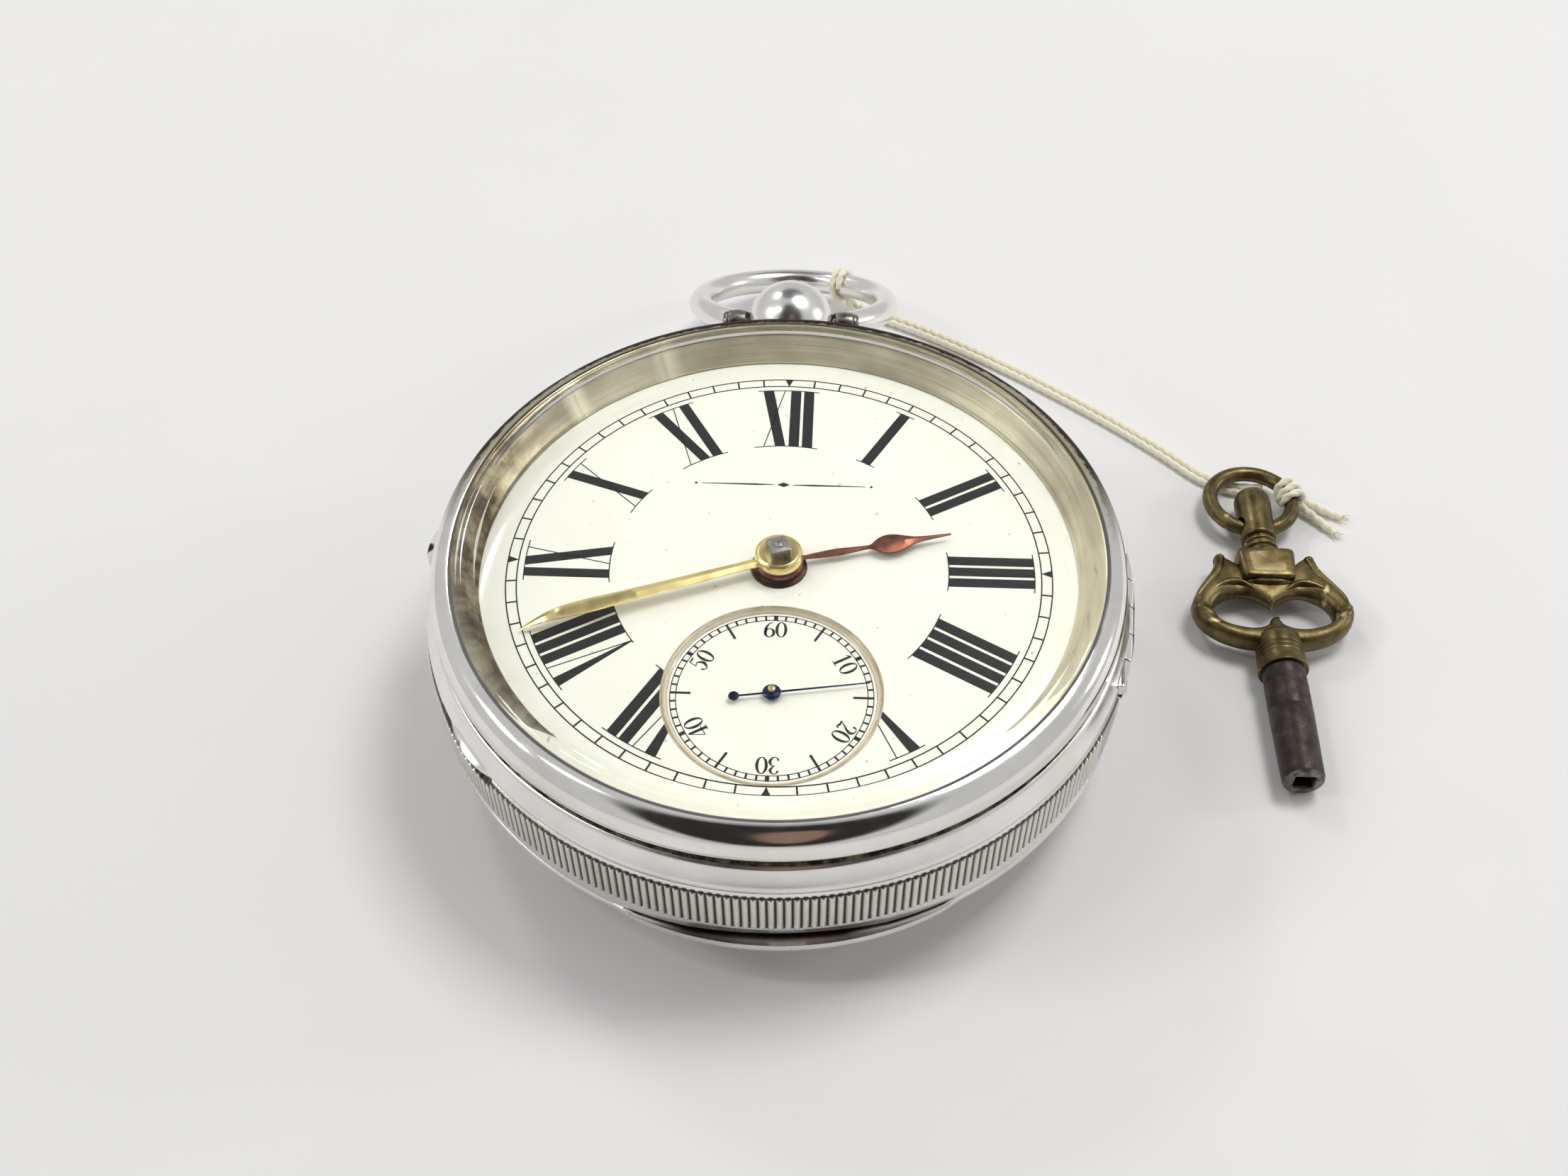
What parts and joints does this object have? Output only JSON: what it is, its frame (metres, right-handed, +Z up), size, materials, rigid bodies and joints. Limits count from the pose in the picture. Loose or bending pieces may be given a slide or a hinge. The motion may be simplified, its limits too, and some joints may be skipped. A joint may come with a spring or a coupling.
{
  "type": "open face pocket watch",
  "caption": "Open face key-wound pocket watch, with hinged bezel, back and dust dome, a full lever movement with a sub-seconds dial, and a winding key tied to the bow by a doubled string.",
  "frame": {"origin": "middle of the flat on the back cover, where the watch lies", "axes": "+Z up through the dial, +Y towards twelve o'clock, +X towards three o'clock"},
  "size_m": [0.0752, 0.0768, 0.0173],
  "materials": {
    "case_silver": "polished, worn sterling silver",
    "crystal_glass": "clear polished glass",
    "dial_enamel": "fired white enamel, glossy",
    "dial_copper": "bare copper",
    "hand_gold": "polished gilt",
    "hand_copper": "bronzed copper",
    "blued_steel": "heat-blued",
    "gilt_brass": "fire-gilt, matt",
    "polished_steel": "polished",
    "ruby": "polished",
    "key_brass": "tarnished cast brass",
    "key_steel": "browned, worn",
    "cotton_string": "twisted cotton"
  },
  "bodies": {
    "case": {"back_hinge_pin": "case_silver", "balance_cock": "gilt_brass", "bezel_hinge_pin": "case_silver", "bow_screws": "case_silver", "case_band": "case_silver", "click_screw": "blued_steel", "click_spring": "polished_steel", "cock_screw": "blued_steel", "dial": "dial_enamel", "dial_feet": "dial_copper", "jewels": "ruby", "key_ring": "key_brass", "minute_wheel_post": "polished_steel", "pendant": "case_silver", "pillar_plate": "gilt_brass", "pillars": "gilt_brass", "plate_screws": "blued_steel", "seconds_dial": "dial_enamel", "string_knot": "cotton_string", "string_strand_far": "cotton_string", "string_strand_near": "cotton_string", "string_tails": "cotton_string", "top_plate": "gilt_brass"},
    "bezel": {"bezel": "case_silver", "crystal": "crystal_glass"},
    "back_cover": {"back_cover": "case_silver"},
    "inner_dome": {"inner_dome": "case_silver"},
    "bow": {"bow": "case_silver", "bow_hitch": "cotton_string"},
    "key": {"key_handle": "key_brass", "key_pipe": "key_steel"},
    "minute_train": {"centre_wheel": "gilt_brass", "centre_arbor": "polished_steel", "cannon_pinion": "polished_steel", "minute_hand": "hand_gold"},
    "hour_train": {"hour_wheel": "gilt_brass", "hour_hand": "hand_copper"},
    "minute_wheel": {"minute_wheel": "gilt_brass"},
    "third_wheel": {"third_wheel": "gilt_brass", "third_arbor": "polished_steel"},
    "seconds_train": {"fourth_wheel": "gilt_brass", "fourth_arbor": "polished_steel", "seconds_hand": "blued_steel"},
    "escape_wheel": {"escape_wheel": "gilt_brass", "escape_arbor": "polished_steel"},
    "going_barrel": {"barrel": "gilt_brass", "barrel_cap": "gilt_brass", "mainspring": "polished_steel"},
    "winding_arbor": {"barrel_arbor": "polished_steel", "ratchet_wheel": "polished_steel"},
    "click": {"click": "polished_steel"},
    "lever": {"pallet_lever": "polished_steel", "pallet_stones": "ruby", "pallet_arbor": "polished_steel"},
    "balance": {"balance_wheel": "gilt_brass", "timing_screws": "gilt_brass", "balance_staff": "polished_steel", "roller": "polished_steel", "hairspring": "blued_steel"},
    "regulator": {"regulator": "polished_steel"}
  },
  "joints": [
    {"name": "bezel_hinge", "type": "hinge", "parent": "case", "child": "bezel", "pos_m": [0.02576, -0.00271, 0.0112], "axis": [0.1045, 0.9945, 0], "range_deg": [0, 100]},
    {"name": "back_cover_hinge", "type": "hinge", "parent": "case", "child": "back_cover", "pos_m": [0, 0.0259, 0.00535], "axis": [1, 0, 0], "range_deg": [0, 95]},
    {"name": "inner_dome_hinge", "type": "hinge", "parent": "case", "child": "inner_dome", "pos_m": [0, 0.0259, 0.00535], "axis": [1, 0, 0], "range_deg": [0, 86]},
    {"name": "bow_swing", "type": "hinge", "parent": "case", "child": "bow", "pos_m": [0, 0.0328, 0.0089], "axis": [1, 0, 0], "range_deg": [0, 120]},
    {"name": "key_swing", "type": "hinge", "parent": "case", "child": "key", "pos_m": [0.0402, 0.016, 0.00175], "axis": [-1, 0, 0], "range_deg": [0, 75]},
    {"name": "minute_turn", "type": "hinge", "parent": "case", "child": "minute_train", "pos_m": [0, 0, 0.013], "axis": [0, 0, -1], "continuous": true},
    {"name": "hour_turn", "type": "hinge", "parent": "case", "child": "hour_train", "pos_m": [0, 0, 0.013], "axis": [0, 0, -1], "continuous": true},
    {"name": "minute_wheel_turn", "type": "hinge", "parent": "case", "child": "minute_wheel", "pos_m": [0.00424, 0.00424, 0.0116], "axis": [0, 0, -1], "continuous": true},
    {"name": "third_turn", "type": "hinge", "parent": "case", "child": "third_wheel", "pos_m": [0.00588, -0.00681, 0.0083], "axis": [0, 0, -1], "continuous": true},
    {"name": "seconds_turn", "type": "hinge", "parent": "case", "child": "seconds_train", "pos_m": [0, -0.0117, 0.008], "axis": [0, 0, -1], "continuous": true},
    {"name": "escape_turn", "type": "hinge", "parent": "case", "child": "escape_wheel", "pos_m": [-0.00569, -0.0107, 0.009], "axis": [0, 0, -1], "continuous": true},
    {"name": "barrel_turn", "type": "hinge", "parent": "case", "child": "going_barrel", "pos_m": [-0.00473, 0.00818, 0.0085], "axis": [0, 0, -1], "continuous": true},
    {"name": "winding", "type": "hinge", "parent": "case", "child": "winding_arbor", "pos_m": [-0.00473, 0.00818, 0.005], "axis": [0, 0, -1], "continuous": true},
    {"name": "click_lift", "type": "hinge", "parent": "case", "child": "click", "pos_m": [0.00026, 0.01, 0.005], "axis": [0, 0, 1], "range_deg": [0, 12]},
    {"name": "lever_rock", "type": "hinge", "parent": "case", "child": "lever", "pos_m": [-0.00769, -0.00723, 0.009], "axis": [0, 0, 1], "range_deg": [-5, 5]},
    {"name": "balance_swing", "type": "hinge", "parent": "case", "child": "balance", "pos_m": [-0.00999, -0.00325, 0.0043], "axis": [0, 0, 1], "range_deg": [-220, 220], "stiffness_Nm_per_rad": 0.000002},
    {"name": "regulator_index", "type": "hinge", "parent": "case", "child": "regulator", "pos_m": [-0.00999, -0.00325, 0.003], "axis": [0, 0, 1], "range_deg": [-12, 12]}
  ],
  "couplings": [
    {"joint": "inner_dome_hinge", "follows": "back_cover_hinge", "ratio": 0.9},
    {"joint": "hour_turn", "follows": "minute_turn", "ratio": 0.083333},
    {"joint": "minute_wheel_turn", "follows": "minute_turn", "ratio": -0.33333},
    {"joint": "third_turn", "follows": "minute_turn", "ratio": -8},
    {"joint": "seconds_turn", "follows": "minute_turn", "ratio": 60},
    {"joint": "escape_turn", "follows": "minute_turn", "ratio": -600},
    {"joint": "barrel_turn", "follows": "minute_turn", "ratio": -0.125}
  ]
}
